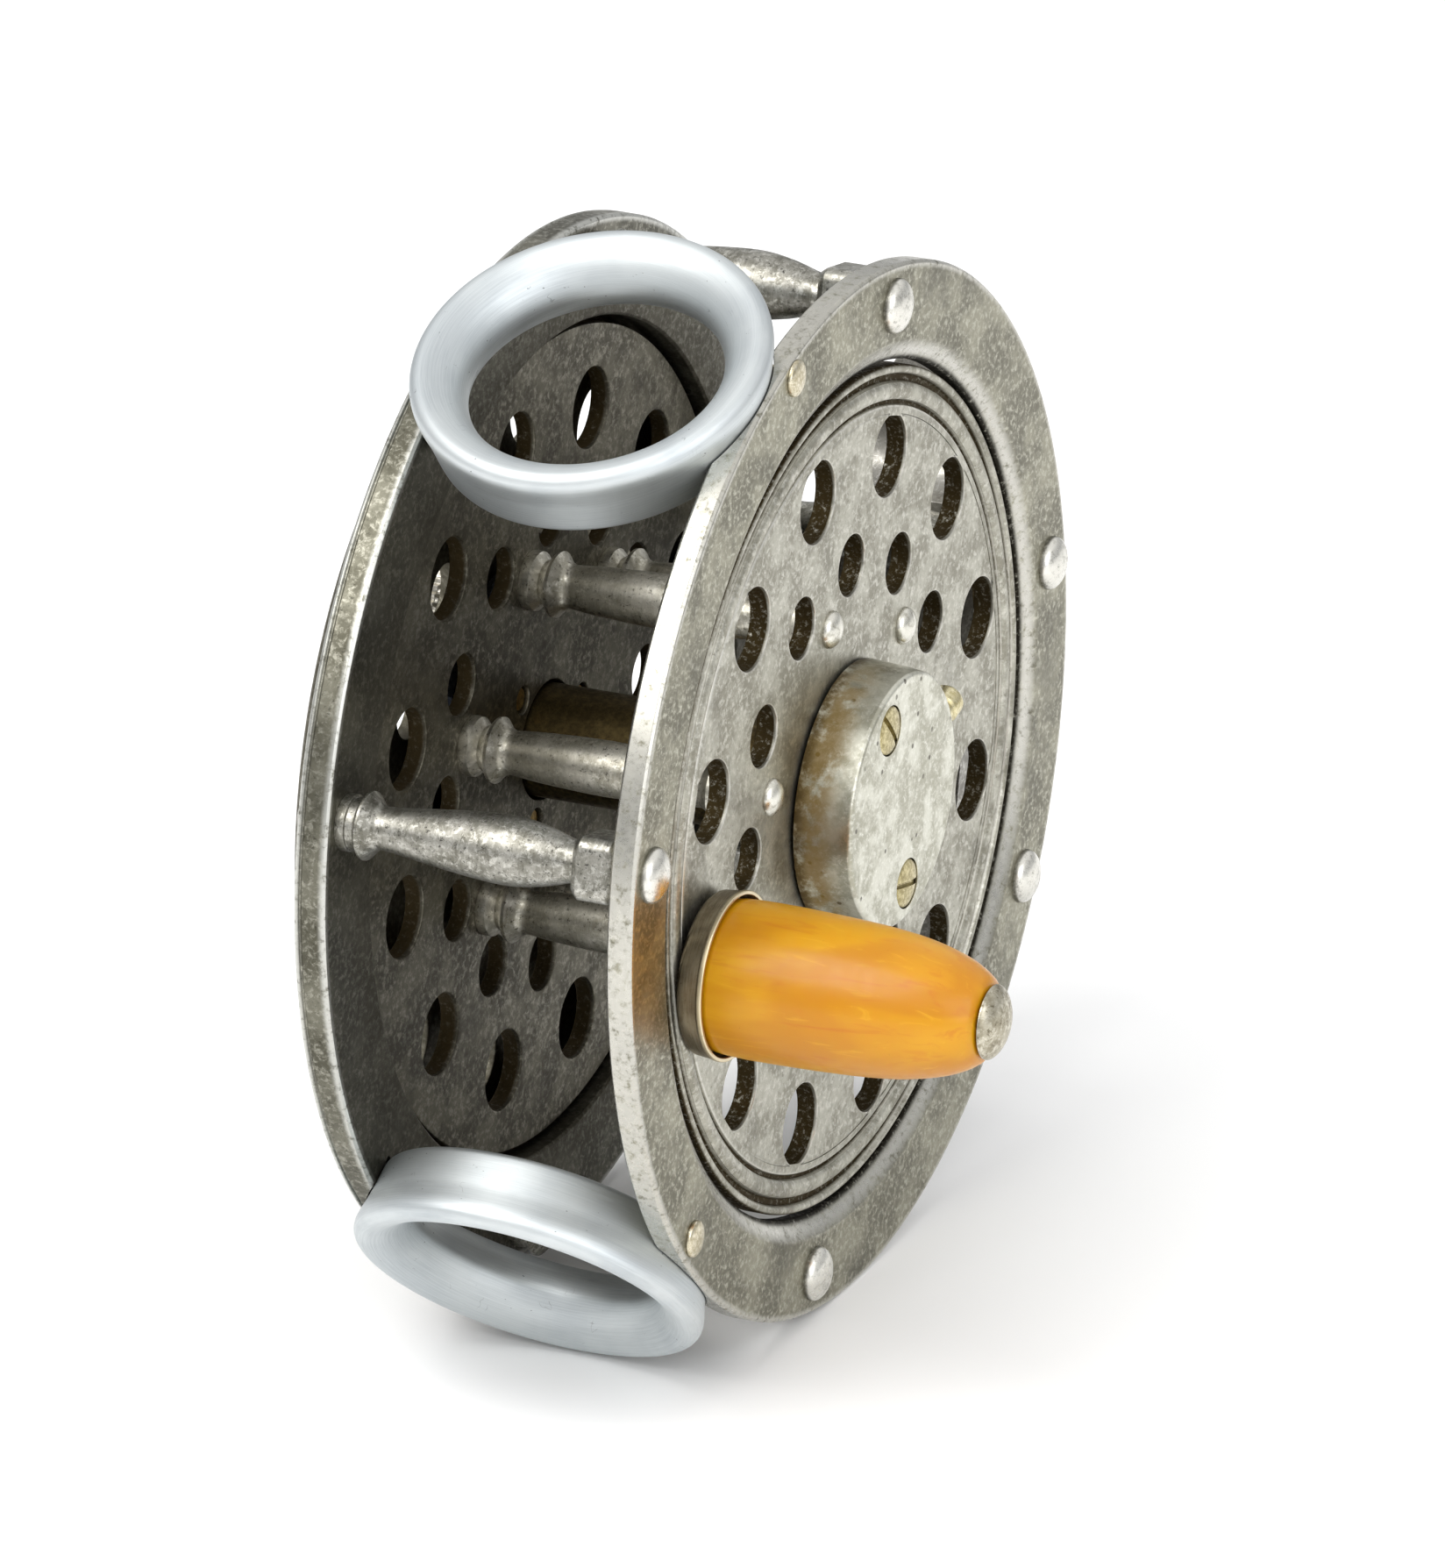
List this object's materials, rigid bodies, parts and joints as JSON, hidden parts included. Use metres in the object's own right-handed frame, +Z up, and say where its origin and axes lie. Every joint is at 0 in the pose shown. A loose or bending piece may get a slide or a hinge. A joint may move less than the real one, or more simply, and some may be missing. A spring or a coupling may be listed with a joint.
{
  "type": "fly reel",
  "caption": "Single-action fly reel: a caged, perforated spool in an open pillared frame with ring line guards, a turned handle, a rod foot and a click drag.",
  "frame": {"origin": "the middle of the reel's footprint, on the surface that it stands on", "axes": "+Y along the spool's axis, from the handle's side to the back; +X towards the rod foot; +Z up"},
  "size_m": [0.1006, 0.0658, 0.0967],
  "materials": {
    "ring_metal": "satin, aged, mottled grey-brown",
    "plate_metal": "satin, aged, worn bright on its rim",
    "guard_metal": "satin, pale, fine scratches",
    "flange_metal": "satin, speckled with age",
    "rear_flange_metal": "satin, dull with age",
    "cap_metal": "bright, pitted",
    "pillar_metal": "worn nickel, dark specks",
    "spool_pillar_metal": "worn nickel",
    "guard_screw_metal": "cream nickel",
    "cap_screw_metal": "cream nickel",
    "foot_screw_metal": "worn nickel",
    "latch_metal": "cream nickel",
    "ferrule_metal": "brushed, brown with age, bright edge",
    "rivet_metal": "speckled nickel",
    "foot_metal": "satin, worn",
    "spindle_steel": "ground",
    "nut_metal": "worn nickel",
    "spring_steel": "blued",
    "pawl_steel": "ground",
    "knob_metal": "knurled, worn nickel",
    "hub_brass": "satin",
    "gear_brass": "satin",
    "amber_handle": "polished amber, light and orange streaks"
  },
  "bodies": {
    "frame": {"rear_plate": "plate_metal", "front_ring": "ring_metal", "frame_pillar_1": "pillar_metal", "frame_pillar_2": "pillar_metal", "frame_pillar_3": "pillar_metal", "frame_pillar_4": "pillar_metal", "frame_pillar_5": "pillar_metal", "line_guard_upper": "guard_metal", "line_guard_lower": "guard_metal", "guard_screw_upper_front": "guard_screw_metal", "guard_screw_upper_rear": "guard_screw_metal", "guard_screw_lower_front": "guard_screw_metal", "guard_screw_lower_rear": "guard_screw_metal", "reel_foot": "foot_metal", "foot_screw_1": "foot_screw_metal", "foot_screw_2": "foot_screw_metal", "spindle": "spindle_steel", "spindle_nut": "nut_metal", "spindle_clip": "spring_steel", "pawl_post": "pawl_steel", "spring_stud": "pawl_steel", "click_spring": "spring_steel"},
    "gear": {"click_gear": "gear_brass"},
    "spool": {"spool_front_flange": "flange_metal", "spool_rear_flange": "rear_flange_metal", "spool_pillar_1": "spool_pillar_metal", "spool_pillar_2": "spool_pillar_metal", "spool_pillar_3": "spool_pillar_metal", "spool_pillar_4": "spool_pillar_metal", "spool_pillar_5": "spool_pillar_metal", "spool_pillar_6": "spool_pillar_metal", "spool_hub": "hub_brass", "hub_cap": "cap_metal", "cap_screw_1": "cap_screw_metal", "cap_screw_2": "cap_screw_metal", "handle_ferrule": "ferrule_metal", "handle_rivet": "rivet_metal", "latch_spring": "spring_steel"},
    "handle": {"handle_grip": "amber_handle"},
    "latch": {"latch_button": "latch_metal"},
    "pawl": {"click_pawl": "pawl_steel"},
    "knob": {"drag_knob": "knob_metal", "drag_cam": "gear_brass"}
  },
  "joints": [
    {"name": "spool_spin", "type": "hinge", "parent": "frame", "child": "gear", "pos_m": [-0.0043, -0.00625, 0.046], "axis": [0, 1, 0], "continuous": true},
    {"name": "spool_lift_off", "type": "slide", "parent": "gear", "child": "spool", "axis": [0, -1, 0], "range_m": [0, 0.045]},
    {"name": "handle_spin", "type": "hinge", "parent": "spool", "child": "handle", "pos_m": [-0.03338, -0.01825, 0.0405], "axis": [0, 1, 0], "continuous": true},
    {"name": "latch_press", "type": "slide", "parent": "spool", "child": "latch", "axis": [-0.9703, 0, -0.2419], "range_m": [0, 0.0014], "stiffness_N_per_m": 400, "deforming": ["latch_spring"]},
    {"name": "pawl_swing", "type": "hinge", "parent": "frame", "child": "pawl", "pos_m": [0.00303, 0.02605, 0.05772], "axis": [0, -1, 0], "range_deg": [0, 7], "stiffness_Nm_per_rad": 0.02, "deforming": ["click_spring"]},
    {"name": "drag_turn", "type": "hinge", "parent": "frame", "child": "knob", "pos_m": [-0.00906, 0.03075, 0.05777], "axis": [0, 1, 0], "range_deg": [0, 90]}
  ]
}
